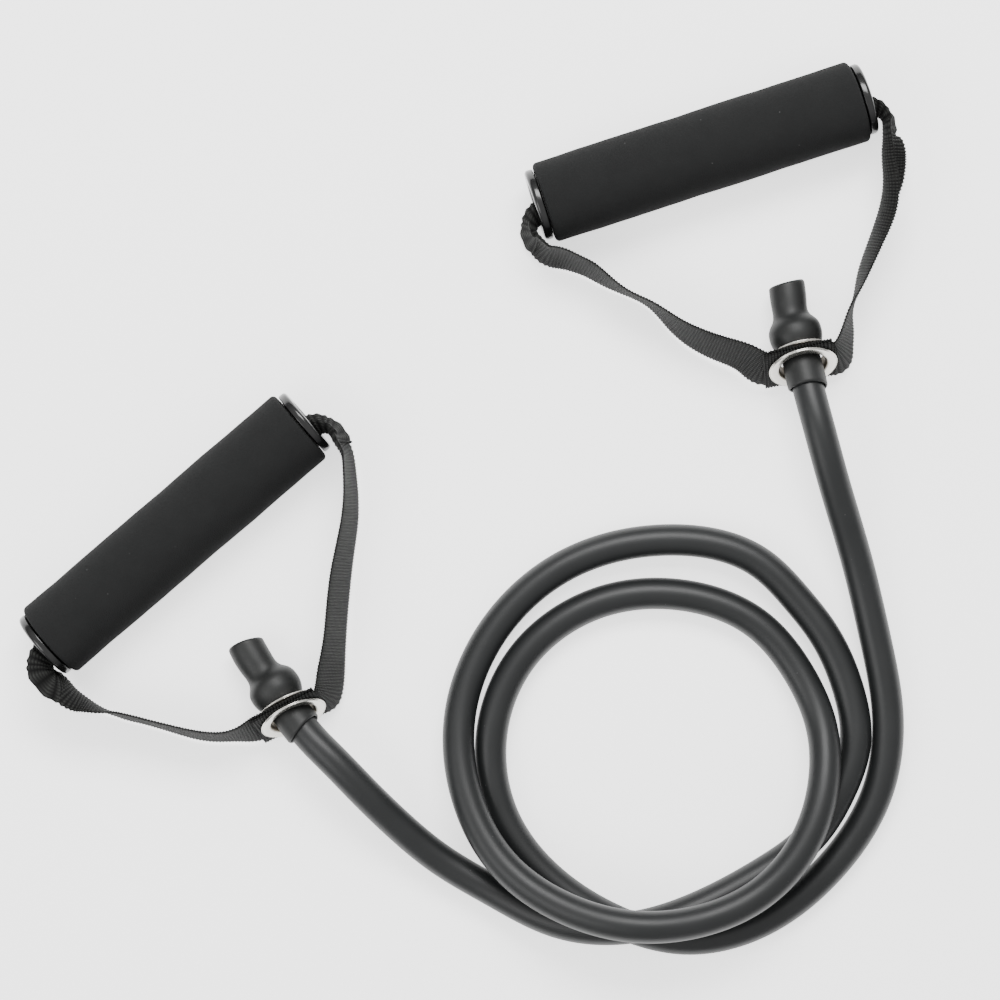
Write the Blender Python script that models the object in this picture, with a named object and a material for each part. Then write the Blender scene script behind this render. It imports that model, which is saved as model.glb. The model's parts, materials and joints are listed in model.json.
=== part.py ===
"""Resistance band: a coiled latex tube with a webbing loop and a foam grip at each end.

Units are metres and +Z is up. The origin is the middle of the footprint of the two handles, on the
surface that the band lies on. Each handle is modelled in a frame of its own, in which the grip lies
along X through the origin and the grommet hangs towards -Y, and an empty carries it to its place.
"""

import math

import bmesh
import bpy
import numpy as np
from mathutils import Vector

# Tube
TUBE_DIAMETER = 0.0128
TUBE_POINTS = 74
PLAY = 0.0003  # the gap between two pieces that touch

# Grip
FOAM_LENGTH = 0.1322
FOAM_DIAMETER = 0.0330
FOAM_EDGE = 0.0018
FOAM_SIDES = 36
CORE_DIAMETER = 0.0230
CORE_BORE = 0.0200
CAP_DIAMETER = 0.0290
CAP_BORE = 0.0174
CAP_START = 0.0006  # from the foam's end to the back of the cap's flange
CAP_THICKNESS = 0.0034
CAP_EDGE = 0.0015
SPIGOT_LENGTH = 0.012
CAP_BACK_EDGE = 0.0006
GRIP_HEIGHT = FOAM_DIAMETER / 2 * math.cos(math.pi / FOAM_SIDES)
GRIP_CENTRE = Vector((0, 0, GRIP_HEIGHT))

# Webbing
WEBBING_WIDTH = 0.025
WEBBING_THICKNESS = 0.0013
WEBBING_TAIL = 0.0155  # from the grommet's centre to each cut end
WEBBING_COLUMNS = 5
STEPS_PER_STATION = 2
FLATTEST = 0.01  # in 1/m, so that flat webbing needs no rule of its own
BORE_CURL_RADIUS = 0.0076  # of the webbing where it lies inside the core tube
MOUTH_RADIUS = 0.0029  # of the webbing's turn over the rim of a cap
FLAT_EXIT = 0.0145  # from the grommet's centre to where the webbing leaves the grommet's plane

# Grommet
GROMMET_BORE = 0.0184
GROMMET_WALL = 0.0005
FLANGE_DIAMETER = 0.0280
FLANGE_THICKNESS = 0.0006
FLANGE_FUNNEL = 0.0216  # the flange's flat ring ends here and curves into the barrel
FLANGE_EDGE = 0.0003
FUNNEL_DEPTH = 0.0016  # from the flange's face to where the barrel is straight
ROLL_HEIGHT = 0.0008  # of the barrel's rolled end, beyond the washer
ROLL_WIDTH = 0.0011
WASHER_THICKNESS = 0.0006
WASHER_EDGE = 0.0003
LAYER_OFFSET = (WEBBING_THICKNESS + PLAY) / 2
STACK_HALF = WEBBING_THICKNESS + 1.5 * PLAY  # from the middle of the webbing to the flange
GROMMET_HEIGHT = 0.0145

# Tube end, sleeve and ball, by distance along the tube from the grommet
TUBE_SPLIT = 0.0063  # the cord ends here and the tube end starts
SLEEVE_WALL = 0.0011
TUBE_END_BORE = 0.0064
TUBE_END_INSET = 0.0003  # of the tube's cut end within the sleeve's
SMALLEST_RADIUS = 0.0004  # of the small flats that close a turned body on its axis
BALL_DIAMETER = 0.0144
BALL_PLACE = -0.0128
# The bulge over the ball and the neck behind it: distance, and how much thicker the tube is there.
SWELLING = (
    (-0.0030, 0),
    (-0.0055, 0.0009),
    (-0.0080, 0.0021),
    (-0.0105, 0.0028),
    (-0.0128, 0.0029),
    (-0.0150, 0.0026),
    (-0.0172, 0.0014),
    (-0.0192, -0.0001),
    (-0.0215, -0.0007),
    (-0.0250, -0.0006),
)
NECK_THINNING = 0.0006
TUBE_SLOPE = 17  # degrees that the tube climbs as it leaves the grommet

ROUND_SIDES = 24
TUBE_END_SIDES = 16

# Where each handle lies, and how its grommet, tube and webbing are turned within it.
# The angles are in degrees in the handle's own frame. grommet_lift is how far the grommet's
# coil-side face looks up, and axis holds the middle of the tube's end, from the grommet onwards.
HANDLES = {
    "a": {
        "grip": (-0.1146, -0.0519),
        "turn": 40.6,
        "grommet": Vector((-0.0117, -0.0852, GROMMET_HEIGHT)),
        "webbing_angle": -14.0,
        "tube_angle": -91.6,
        "grommet_lift": 25.4,
        "sleeve_reach": 0.0085,
        "neck_reach": 0.0347,
        "axis": (
            (-0.0105, -0.0719, 0.0109),
            (-0.0100, -0.0628, 0.0096),
            (-0.0080, -0.0510, 0.0078),
            (-0.0068, -0.0470, 0.0073),
        ),
    },
    "b": {
        "grip": (0.0959, 0.1006),
        "turn": 18.0,
        "grommet": Vector((0.0125, -0.0927, GROMMET_HEIGHT)),
        "webbing_angle": -6.7,
        "tube_angle": -95.9,
        "grommet_lift": 30.0,
        "sleeve_reach": 0.0108,
        "neck_reach": 0.0332,
        "axis": (
            (0.0139, -0.0800, 0.0109),
            (0.0147, -0.0716, 0.0096),
            (0.0169, -0.0604, 0.0078),
            (0.0175, -0.0556, 0.0072),
        ),
    },
}

# Stations of the webbing between the grommet and the caps: x, y and z of its middle, how far its
# upper edge leans into the loop in degrees, and the curvature across it in 1/m.
RIGHT_ARM = {
    "a": (
        (0.0055, -0.0878, 0.0146, 25, 0),
        (0.0101, -0.0837, 0.0146, 24, 0),
        (0.0181, -0.0763, 0.0145, 20, 0),
        (0.0321, -0.0626, 0.0142, 18, 0),
        (0.0420, -0.0535, 0.0142, 17, 0),
        (0.0503, -0.0466, 0.0142, 13, 4),
        (0.0580, -0.0398, 0.0143, 8, 10),
        (0.0638, -0.0330, 0.0145, 2, 18),
        (0.0685, -0.0256, 0.0150, -5, 26),
        (0.0717, -0.0189, 0.0160, -6, 33),
        (0.0728, -0.0134, 0.0172, -6, 40),
    ),
    "b": (
        (0.0309, -0.0917, 0.0146, 28, 0),
        (0.0344, -0.0852, 0.0146, 23, 0),
        (0.0376, -0.0788, 0.0144, 12, 0),
        (0.0414, -0.0733, 0.0142, 2, 4),
        (0.0454, -0.0667, 0.0142, -4, 15),
        (0.0537, -0.0546, 0.0142, -6, 40),
        (0.0610, -0.0429, 0.0143, -1, 72),
        (0.0651, -0.0326, 0.0146, 13, 92),
        (0.0671, -0.0237, 0.0150, 20, 94),
        (0.0697, -0.0175, 0.0153, 14, 74),
        (0.0714, -0.0132, 0.0154, 7, 58),
    ),
}
LEFT_ARM = {
    "a": (
        (-0.0720, -0.0132, 0.0172, -14, 58),
        (-0.0726, -0.0200, 0.0160, -6, 60),
        (-0.0714, -0.0260, 0.0150, -1, 40),
        (-0.0693, -0.0320, 0.0145, 4, 18),
        (-0.0650, -0.0399, 0.0142, 8, 0),
        (-0.0593, -0.0480, 0.0142, 9, 0),
        (-0.0527, -0.0577, 0.0142, 10, 0),
        (-0.0430, -0.0705, 0.0142, 12, 0),
        (-0.0341, -0.0774, 0.0144, 15, 0),
    ),
    "b": (
        (-0.0719, -0.0131, 0.0148, 9, 38),
        (-0.0694, -0.0172, 0.0147, 9, 32),
        (-0.0656, -0.0213, 0.0146, 9, 27),
        (-0.0610, -0.0259, 0.0144, 7, 22),
        (-0.0563, -0.0314, 0.0143, 4, 12),
        (-0.0517, -0.0373, 0.0142, 2, 4),
        (-0.0453, -0.0444, 0.0142, 1, 0),
        (-0.0382, -0.0514, 0.0142, 2, 0),
        (-0.0309, -0.0627, 0.0142, 11, 0),
        (-0.0164, -0.0775, 0.0144, 21, 0),
        (-0.0075, -0.0850, 0.0145, 25, 0),
    ),
}
# How far the curled webbing is turned round the bore at each cap, in degrees.
MOUTH_LEAN = {"a": {"right": -20, "left": -22}, "b": {"right": 6, "left": 11}}

# The tube's route from handle a to handle b: out of the sleeve, over the coil and back to the floor.
TUBE_ROUTE = (
    (-0.0643, -0.1289, 0.0163),
    (-0.0594, -0.1343, 0.0184),
    (-0.0512, -0.1424, 0.0200),
    (-0.0405, -0.1536, 0.0186),
    (-0.0259, -0.1684, 0.0134),
    (-0.0089, -0.1829, 0.0088),
    (0.0133, -0.1962, 0.0084),
    (0.0385, -0.2077, 0.0147),
    (0.0665, -0.2093, 0.0200),
    (0.0957, -0.2009, 0.0172),
    (0.1228, -0.1869, 0.0130),
    (0.1398, -0.1743, 0.0110),
    (0.1524, -0.1551, 0.0096),
    (0.1584, -0.1359, 0.0086),
    (0.1558, -0.1154, 0.0072),
    (0.1455, -0.0920, 0.0067),
    (0.1350, -0.0784, 0.0065),
    (0.1206, -0.0642, 0.0065),
    (0.0798, -0.0548, 0.0065),
    (0.0400, -0.0659, 0.0065),
    (0.0115, -0.0930, 0.0070),
    (-0.0009, -0.1270, 0.0098),
    (0.0014, -0.1547, 0.0146),
    (0.0166, -0.1836, 0.0214),
    (0.0392, -0.1996, 0.0276),
    (0.0695, -0.2073, 0.0330),
    (0.0950, -0.2052, 0.0306),
    (0.1192, -0.1945, 0.0274),
    (0.1366, -0.1749, 0.0250),
    (0.1446, -0.1511, 0.0200),
    (0.1442, -0.1288, 0.0122),
    (0.1349, -0.1070, 0.0078),
    (0.1191, -0.0886, 0.0067),
    (0.0879, -0.0768, 0.0065),
    (0.0553, -0.0799, 0.0065),
    (0.0246, -0.1016, 0.0065),
    (0.0118, -0.1353, 0.0065),
    (0.0178, -0.1683, 0.0065),
    (0.0351, -0.1908, 0.0065),
    (0.0605, -0.2074, 0.0065),
    (0.0899, -0.2154, 0.0065),
    (0.1201, -0.2086, 0.0065),
    (0.1483, -0.1868, 0.0065),
    (0.1676, -0.1558, 0.0065),
    (0.1717, -0.1272, 0.0065),
    (0.1667, -0.0950, 0.0068),
    (0.1589, -0.0632, 0.0096),
    (0.1488, -0.0314, 0.0180),
    (0.1418, -0.0067, 0.0206),
    (0.1392, 0.0037, 0.0184),
    (0.1377, 0.0104, 0.0163),
)

# Colour, roughness and metallic value of each material
MATERIALS = {
    "latex": ((0.055, 0.058, 0.057), 0.45, 0.0),
    "sleeve_rubber": ((0.048, 0.050, 0.049), 0.55, 0.0),
    "foam": ((0.030, 0.031, 0.031), 0.95, 0.0),
    "webbing": ((0.022, 0.023, 0.022), 0.85, 0.0),
    "nickel": ((0.72, 0.70, 0.66), 0.2, 1.0),
    "cap_plastic": ((0.022, 0.023, 0.023), 0.3, 0.0),
    "core_plastic": ((0.10, 0.10, 0.10), 0.5, 0.0),
    "ball_plastic": ((0.35, 0.33, 0.30), 0.5, 0.0),
}

UP = Vector((0, 0, 1))


def clear_scene():
    for obj in list(bpy.data.objects):
        bpy.data.objects.remove(obj)


def material(name):
    found = bpy.data.materials.get(name)
    if found:
        return found
    made = bpy.data.materials.new(name)
    made.use_nodes = True
    shader = made.node_tree.nodes["Principled BSDF"]
    colour, roughness, metallic = MATERIALS[name]
    shader.inputs["Base Color"].default_value = (*colour, 1)
    shader.inputs["Roughness"].default_value = roughness
    shader.inputs["Metallic"].default_value = metallic
    return made


def smooth_curve(points, counts):
    """Points of the natural cubic spline through these, with so many steps after each of them."""
    points = np.array(points, float)
    chord = np.linalg.norm(np.diff(points[:, :3], axis=0), axis=1)
    size = len(points)
    system = np.eye(size)
    wanted = np.zeros_like(points)
    slope = np.diff(points, axis=0) / chord[:, None]
    for i in range(1, size - 1):
        system[i, i - 1 : i + 2] = chord[i - 1], 2 * (chord[i - 1] + chord[i]), chord[i]
        wanted[i] = 6 * (slope[i] - slope[i - 1])
    bend = np.linalg.solve(system, wanted)
    found = []
    for i, count in enumerate(counts):
        start = slope[i] - chord[i] * (2 * bend[i] + bend[i + 1]) / 6
        for step in range(count):
            t = chord[i] * step / count
            cubic = (bend[i + 1] - bend[i]) / (6 * chord[i])
            found.append(points[i] + t * (start + t * (bend[i] / 2 + t * cubic)))
    found.append(points[-1])
    return np.array(found)


def evenly_spaced(points, count):
    """So many points at equal distances along a finely sampled curve."""
    length = np.concatenate([[0], np.cumsum(np.linalg.norm(np.diff(points, axis=0), axis=1))])
    wanted = np.linspace(0, length[-1], count)
    return np.column_stack([np.interp(wanted, length, points[:, k]) for k in range(3)])


def straight(origin, direction):
    """The line through origin: a function from distance to a point and the line's direction."""
    direction = Vector(direction).normalized()
    return lambda distance: (Vector(origin) + distance * direction, direction)


def tube_axis(handle):
    """The middle of the tube's end, by distance from the grommet, positive towards the coil."""
    angle = math.radians(handle["tube_angle"])
    slope = math.radians(TUBE_SLOPE)
    outward = Vector(
        (
            math.cos(angle) * math.cos(slope),
            math.sin(angle) * math.cos(slope),
            math.sin(slope),
        )
    )
    centre = handle["grommet"]
    lead = [centre + distance * outward for distance in (0.016, 0.008, 0)]
    fine = smooth_curve([tuple(p) for p in lead] + list(handle["axis"]), [24] * 6)
    travelled = np.concatenate([[0], np.cumsum(np.linalg.norm(np.diff(fine, axis=0), axis=1))])
    travelled = travelled[48] - travelled

    def at(distance):
        def point(where):
            return Vector(
                [np.interp(-where, -travelled, fine[:, axis]) for axis in range(3)]
            )

        step = 0.0005
        along = (point(distance + step) - point(distance - step)).normalized()
        return point(distance), along

    return at


def finished(name, bm, slot, origin=(0, 0, 0)):
    """An object made from bm, with its origin at the given point."""
    bmesh.ops.recalc_face_normals(bm, faces=bm.faces)
    bmesh.ops.translate(bm, verts=bm.verts, vec=-Vector(origin))
    mesh = bpy.data.meshes.new(name)
    bm.to_mesh(mesh)
    bm.free()
    mesh.shade_smooth()
    mesh.set_sharp_from_angle(angle=math.radians(35))
    mesh.materials.append(material(slot))
    obj = bpy.data.objects.new(name, mesh)
    obj.location = origin
    bpy.context.collection.objects.link(obj)
    return obj


def turned(name, profile, line, slot, sides=ROUND_SIDES, origin=(0, 0, 0)):
    """A ring-shaped body: the closed profile of (distance, radius) turned round the line."""
    bm = bmesh.new()
    rings = []
    for distance, radius in profile:
        centre, along = line(distance)
        across = along.cross(UP).normalized()
        upward = across.cross(along)
        ring = []
        for k in range(sides):
            angle = 2 * math.pi * (k + 0.5) / sides
            spoke = math.cos(angle) * across + math.sin(angle) * upward
            ring.append(bm.verts.new(centre + radius * spoke))
        rings.append(ring)
    for first, second in zip(rings, rings[1:] + rings[:1]):
        for k in range(sides):
            after = (k + 1) % sides
            bm.faces.new((first[k], first[after], second[after], second[k]))
    return finished(name, bm, slot, origin)


def quarter(centre, radius, start, end, steps=2):
    """Points of (distance, radius) on an arc of a profile, angles in degrees."""
    points = []
    for step in range(steps + 1):
        angle = math.radians(start + (end - start) * step / steps)
        points.append((centre[0] + radius * math.cos(angle), centre[1] + radius * math.sin(angle)))
    return points


def make_foam(side):
    outer = FOAM_DIAMETER / 2
    inner = CORE_DIAMETER / 2 + PLAY
    half = FOAM_LENGTH / 2
    corner = outer - FOAM_EDGE
    profile = [(-half, inner)]
    profile += quarter((-half + FOAM_EDGE, corner), FOAM_EDGE, 180, 90)
    profile += quarter((half - FOAM_EDGE, corner), FOAM_EDGE, 90, 0)
    profile += [(half, inner)]
    return turned(f"foam_grip_{side}", profile, grip_line(), "foam", FOAM_SIDES, GRIP_CENTRE)


def make_core(side):
    half = FOAM_LENGTH / 2 + CAP_START - PLAY
    outer, inner = CORE_DIAMETER / 2, CORE_BORE / 2
    profile = [(-half, inner), (-half, outer), (half, outer), (half, inner)]
    return turned(f"core_tube_{side}", profile, grip_line(), "core_plastic", origin=GRIP_CENTRE)


def make_cap(side, end, direction):
    """A flange over the end of the foam, with a spigot inside the core tube."""
    back = FOAM_LENGTH / 2 + CAP_START
    face = back + CAP_THICKNESS
    rim = CAP_DIAMETER / 2
    bore = CAP_BORE / 2
    spigot = CORE_BORE / 2 - PLAY
    profile = [(back - SPIGOT_LENGTH, bore), (back - SPIGOT_LENGTH, spigot), (back, spigot)]
    profile += [(back, rim - CAP_BACK_EDGE), (back + CAP_BACK_EDGE, rim)]
    profile += quarter((face - CAP_EDGE, rim - CAP_EDGE), CAP_EDGE, 90, 0)
    profile += quarter((face - CAP_EDGE, bore + CAP_EDGE), CAP_EDGE, 0, -90)
    name = f"end_cap_{side}_{end}"
    return turned(name, profile, grip_line(direction), "cap_plastic", origin=GRIP_CENTRE)


def grip_line(direction=1):
    return straight(GRIP_CENTRE, (direction, 0, 0))


def grommet_frame(handle):
    """The webbing's direction, the grommet's normal towards the coil, and the webbing's upward way."""
    angle = math.radians(handle["webbing_angle"])
    lift = math.radians(handle["grommet_lift"])
    along = Vector((math.cos(angle), math.sin(angle), 0))
    level = Vector((math.sin(angle), -math.cos(angle), 0))
    normal = math.cos(lift) * level + math.sin(lift) * UP
    return along, normal


def make_grommet(side, handle):
    """A flanged barrel through both layers of webbing, rolled over the washer at its back."""
    _, normal = grommet_frame(handle)
    inner = GROMMET_BORE / 2
    outer = inner + GROMMET_WALL
    rim = FLANGE_DIAMETER / 2
    funnel = FLANGE_FUNNEL / 2
    front = STACK_HALF
    top = front + FLANGE_THICKNESS
    back = -STACK_HALF - WASHER_THICKNESS - PLAY
    end = back - ROLL_HEIGHT
    profile = [(front, outer), (front, rim - FLANGE_EDGE), (front + FLANGE_EDGE, rim)]
    profile += [(top, rim - 2 * FLANGE_EDGE), (top, funnel)]
    profile += [(top - FUNNEL_DEPTH / 2, inner + GROMMET_WALL), (top - FUNNEL_DEPTH, inner)]
    profile += [(back + ROLL_HEIGHT / 2, inner), (back - ROLL_HEIGHT / 2, inner + GROMMET_WALL)]
    profile += [(end, outer + ROLL_WIDTH / 2), (back - ROLL_HEIGHT / 2, outer + ROLL_WIDTH)]
    profile += [(back, outer + ROLL_WIDTH), (back, outer)]
    return turned(
        f"grommet_{side}",
        profile,
        straight(handle["grommet"], normal),
        "nickel",
        origin=handle["grommet"],
    )


def make_washer(side, handle):
    _, normal = grommet_frame(handle)
    inner = GROMMET_BORE / 2 + GROMMET_WALL + PLAY
    rim = FLANGE_DIAMETER / 2
    back = -STACK_HALF - WASHER_THICKNESS
    profile = [(-STACK_HALF, inner), (back, inner), (back, rim - WASHER_EDGE)]
    profile += [(back + WASHER_EDGE, rim), (-STACK_HALF, rim)]
    return turned(
        f"grommet_washer_{side}",
        profile,
        straight(handle["grommet"], normal),
        "nickel",
        origin=handle["grommet"],
    )


def outer_profile(end, gap):
    """The tube end's outside, offset outwards by gap: (distance, radius) towards the cut end."""
    radius = TUBE_DIAMETER / 2 + gap
    profile = [(distance, radius + more) for distance, more in SWELLING]
    return profile + [(-end, radius - NECK_THINNING)]


def make_tube_end(side, handle):
    """The last of the tube, stretched over the ball and open at its cut end."""
    start = TUBE_SPLIT - PLAY
    end = handle["neck_reach"] - TUBE_END_INSET
    bore = TUBE_END_BORE / 2
    hollow = BALL_DIAMETER / 2 + PLAY
    opening = math.degrees(math.asin(bore / hollow))
    profile = [(start, SMALLEST_RADIUS), (start, TUBE_DIAMETER / 2)]
    profile += outer_profile(end, 0) + [(-end, bore)]
    profile += quarter((BALL_PLACE, 0), hollow, 180 - opening, opening, 6)
    profile += [(BALL_PLACE + hollow, SMALLEST_RADIUS)]
    return turned(
        f"tube_end_{side}",
        profile,
        tube_axis(handle),
        "latex",
        TUBE_END_SIDES,
        handle["grommet"],
    )


def make_sleeve(side, handle):
    """The rubber sleeve over the tube, through the grommet and over the ball to the cut end."""
    start = handle["sleeve_reach"]
    tube = TUBE_DIAMETER / 2
    end = handle["neck_reach"]
    outside = [(start, tube + PLAY + SLEEVE_WALL)] + outer_profile(end, PLAY + SLEEVE_WALL)
    inside = [(start, tube + PLAY)] + outer_profile(end, PLAY)
    return turned(
        f"sleeve_{side}",
        outside + inside[::-1],
        tube_axis(handle),
        "sleeve_rubber",
        TUBE_END_SIDES,
        handle["grommet"],
    )


def make_ball(side, handle):
    centre, _ = tube_axis(handle)(BALL_PLACE)
    bm = bmesh.new()
    bmesh.ops.create_uvsphere(bm, u_segments=12, v_segments=8, radius=BALL_DIAMETER / 2)
    bmesh.ops.translate(bm, verts=bm.verts, vec=centre)
    return finished(f"ball_plug_{side}", bm, "ball_plastic", handle["grommet"])


def bore_station(x, away, lean):
    """Where the webbing lies x along the bore and so far from its axis, curled and turned by lean."""
    turn = math.radians(lean)
    return (
        x,
        -away * math.cos(turn),
        GRIP_HEIGHT - away * math.sin(turn),
        lean,
        1 / BORE_CURL_RADIUS,
    )


def mouth(direction, lean, curl):
    """The webbing's turn out of the bore and over the rim of the cap at +X or -X."""
    start = FOAM_LENGTH / 2 + CAP_START + CAP_THICKNESS - 0.0010
    stations = []
    for angle, part in ((0, 0), (30, 0.2), (60, 0.5), (90, 0.9)):
        turn = math.radians(angle)
        x = start + MOUTH_RADIUS * math.sin(turn)
        away = BORE_CURL_RADIUS + MOUTH_RADIUS * (1 - math.cos(turn))
        station = list(bore_station(direction * x, away, lean))
        station[4] += part * (curl - station[4])
        stations.append(tuple(station))
    return stations


def webbing_stations(side, handle):
    """The whole loop: from the front layer at the grommet, counter-clockwise, to the back layer."""
    along, normal = grommet_frame(handle)
    lift = handle["grommet_lift"]

    def at_grommet(distance, offset):
        return (*(handle["grommet"] + distance * along + offset * normal), lift, 0)

    front, back = LAYER_OFFSET, -LAYER_OFFSET
    right, left = MOUTH_LEAN[side]["right"], MOUTH_LEAN[side]["left"]
    stations = [at_grommet(d, front) for d in (-WEBBING_TAIL, 0, 0.007, 0.011, FLAT_EXIT)]
    stations += RIGHT_ARM[side]
    stations += mouth(1, right, RIGHT_ARM[side][-1][4])[::-1]
    reach = FOAM_LENGTH / 2
    for part in (0.92, 0.5, 0, -0.5, -0.92):
        lean = left + (right - left) * (part + 1) / 2
        stations.append(bore_station(part * reach, BORE_CURL_RADIUS, lean))
    stations += mouth(-1, left, LEFT_ARM[side][0][4])
    stations += LEFT_ARM[side]
    stations += [at_grommet(d, back) for d in (-FLAT_EXIT, -0.011, -0.007, 0, 0.0125)]
    return stations


def webbing_section(station, along):
    """The ring of points round the webbing at one station, first one face, then the other."""
    *place, lean, curl = (float(value) for value in station)
    centre = Vector(place)
    lean = math.radians(lean)
    curl = max(curl, FLATTEST)
    inward = UP.cross(along).normalized()
    width = math.cos(lean) * UP + math.sin(lean) * inward
    width = (width - width.dot(along) * along).normalized()
    outward = along.cross(width)
    faces = ([], [])
    for column in range(WEBBING_COLUMNS):
        across = WEBBING_WIDTH * (column / (WEBBING_COLUMNS - 1) - 0.5)
        turn = curl * across
        middle = centre + math.sin(turn) / curl * width + (1 - math.cos(turn)) / curl * outward
        facing = math.cos(turn) * outward - math.sin(turn) * width
        for face, half in zip(faces, (WEBBING_THICKNESS / 2, -WEBBING_THICKNESS / 2)):
            face.append(middle + half * facing)
    return faces[0] + faces[1][::-1]


def make_strap(side, handle):
    stations = webbing_stations(side, handle)
    path = smooth_curve(stations, [STEPS_PER_STATION] * (len(stations) - 1))
    tangents = np.gradient(path[:, :3], axis=0)
    bm = bmesh.new()
    rings = []
    for station, tangent in zip(path, tangents):
        ring = webbing_section(station, Vector(tangent).normalized())
        rings.append([bm.verts.new(point) for point in ring])
    for first, second in zip(rings, rings[1:]):
        count = len(first)
        for k in range(count):
            after = (k + 1) % count
            bm.faces.new((first[k], first[after], second[after], second[k]))
    for ring in (rings[0], rings[-1]):
        for k in range(WEBBING_COLUMNS - 1):
            bm.faces.new((ring[k], ring[k + 1], ring[-2 - k], ring[-1 - k]))
    strap = finished(f"strap_{side}", bm, "webbing", handle["grommet"])
    cut = strap.modifiers.new("grommet_hole", "BOOLEAN")
    cut.object = make_hole(side, handle)
    return strap


def make_hole(side, handle):
    """The cutter for the hole through both layers of webbing."""
    _, normal = grommet_frame(handle)
    bm = bmesh.new()
    radius = GROMMET_BORE / 2 + GROMMET_WALL + PLAY
    bmesh.ops.create_cone(
        bm, cap_ends=True, segments=ROUND_SIDES, radius1=radius, radius2=radius, depth=0.006
    )
    cutter = finished(f"grommet_hole_{side}", bm, "webbing")
    cutter.location = handle["grommet"]
    cutter.rotation_euler = UP.rotation_difference(normal).to_euler()
    cutter.hide_render = True
    cutter.display_type = "WIRE"
    return cutter


def make_handle(side, handle):
    """Every piece of one handle, under an empty that stands at the middle of its grip."""
    base = bpy.data.objects.new(f"handle_{side}", None)
    bpy.context.collection.objects.link(base)
    strap = make_strap(side, handle)
    pieces = [
        make_foam(side),
        make_core(side),
        make_cap(side, "left", -1),
        make_cap(side, "right", 1),
        strap,
        strap.modifiers[0].object,
        make_grommet(side, handle),
        make_washer(side, handle),
        make_sleeve(side, handle),
        make_tube_end(side, handle),
        make_ball(side, handle),
    ]
    for piece in pieces:
        piece.parent = base
    base.location = (*handle["grip"], 0)
    base.rotation_euler = (0, 0, math.radians(handle["turn"]))


def make_tube():
    steps = 24
    fine = smooth_curve(TUBE_ROUTE, [steps] * (len(TUBE_ROUTE) - 1))
    points = [fine[0], *evenly_spaced(fine[steps:-steps], TUBE_POINTS), fine[-1]]
    curve = bpy.data.curves.new("latex_tube", "CURVE")
    curve.dimensions = "3D"
    curve.bevel_depth = TUBE_DIAMETER / 2
    curve.bevel_resolution = 2
    curve.use_fill_caps = True
    spline = curve.splines.new("POLY")
    spline.points.add(len(points) - 1)
    for spot, point in zip(spline.points, points):
        spot.co = (*point, 1)
    curve.materials.append(material("latex"))
    tube = bpy.data.objects.new("latex_tube", curve)
    bpy.context.collection.objects.link(tube)


def main():
    clear_scene()
    make_tube()
    for side, handle in HANDLES.items():
        make_handle(side, handle)


main()
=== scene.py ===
"""Resistance band lying on a pale floor: the visual model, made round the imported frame.

Units are metres and +Z is up, in the frame's own coordinates. Each handle is made in a frame of its
own, in which the grip lies along X over the origin and the grommet hangs towards -Y, and its meshes
are then moved to their place. Distances along the tube's end count from the grommet, positive
towards the coil.
"""

import json
import math

import bpy
import numpy as np
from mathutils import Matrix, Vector


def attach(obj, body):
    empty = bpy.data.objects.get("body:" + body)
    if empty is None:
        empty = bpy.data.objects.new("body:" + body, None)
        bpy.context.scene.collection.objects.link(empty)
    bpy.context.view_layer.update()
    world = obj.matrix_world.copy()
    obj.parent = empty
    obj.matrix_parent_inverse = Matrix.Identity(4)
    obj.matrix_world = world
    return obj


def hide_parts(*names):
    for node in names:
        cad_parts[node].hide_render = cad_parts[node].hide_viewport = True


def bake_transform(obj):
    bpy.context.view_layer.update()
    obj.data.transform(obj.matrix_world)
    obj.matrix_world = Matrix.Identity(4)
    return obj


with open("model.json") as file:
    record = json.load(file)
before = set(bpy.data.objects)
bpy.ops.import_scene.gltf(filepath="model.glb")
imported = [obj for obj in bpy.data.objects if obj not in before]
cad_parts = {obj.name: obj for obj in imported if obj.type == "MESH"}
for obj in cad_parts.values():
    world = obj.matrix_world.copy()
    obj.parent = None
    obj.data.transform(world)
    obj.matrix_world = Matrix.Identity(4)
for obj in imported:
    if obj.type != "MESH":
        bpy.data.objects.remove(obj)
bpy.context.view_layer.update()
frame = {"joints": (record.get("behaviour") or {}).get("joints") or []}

# Camera, straight above
CAMERA_PLACE = (0.0154, -0.0386, 1.4)
VIEW_WIDTH = 0.4  # at the height of the grips' middle
SENSOR_WIDTH = 36

# Tube
TUBE_DIAMETER = 0.0128
TUBE_RING_STEP = 0.0016
TUBE_SIDES = 48
SHARP_ANGLE = 50  # degrees: keeps the end faces out of the sides' shading at the seam
TUBE_SPLIT = 0.0063  # where the cord ends inside the sleeve and the tube's stretched end starts
SEAM_POINT = 8  # of the route, where the two halves of the cord meet under the top turn

# Grip
FOAM_LENGTH = 0.1322
FOAM_DIAMETER = 0.0330
FOAM_EDGE = 0.0018
FOAM_SIDES = 128
FOAM_RINGS = 90
FOAM_ENDS = 0.004  # the rings keep this far from the ends
FOAM_UNEVENNESS = 0.00015
GRIP_HEIGHT = 0.01644
CORE_DIAMETER = 0.0230
CORE_BORE = 0.0200
CORE_EDGE = 0.0003
CAP_DIAMETER = 0.0290
CAP_BORE = 0.0174
CAP_START = 0.0006
CAP_THICKNESS = 0.0034
CAP_EDGE = 0.0015
CAP_BACK_EDGE = 0.0006
SPIGOT_LENGTH = 0.012
PLAY = 0.0003

# Webbing
WEBBING_WIDTH = 0.025
WEBBING_THICKNESS = 0.0013
RIB_PITCH = 0.00125
RIB_HEIGHT = 0.00034
WARPS = 18
ROWS_PER_RIB = 4
WEBBING_COLUMNS = 25
WEBBING_SIDES = 2 * WEBBING_COLUMNS + 2  # both faces and the two selvedges
BORE_CURL_RADIUS = 0.0076
MOUTH_RADIUS = 0.0036
MOUTH_INSET = 0.0004
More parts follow.
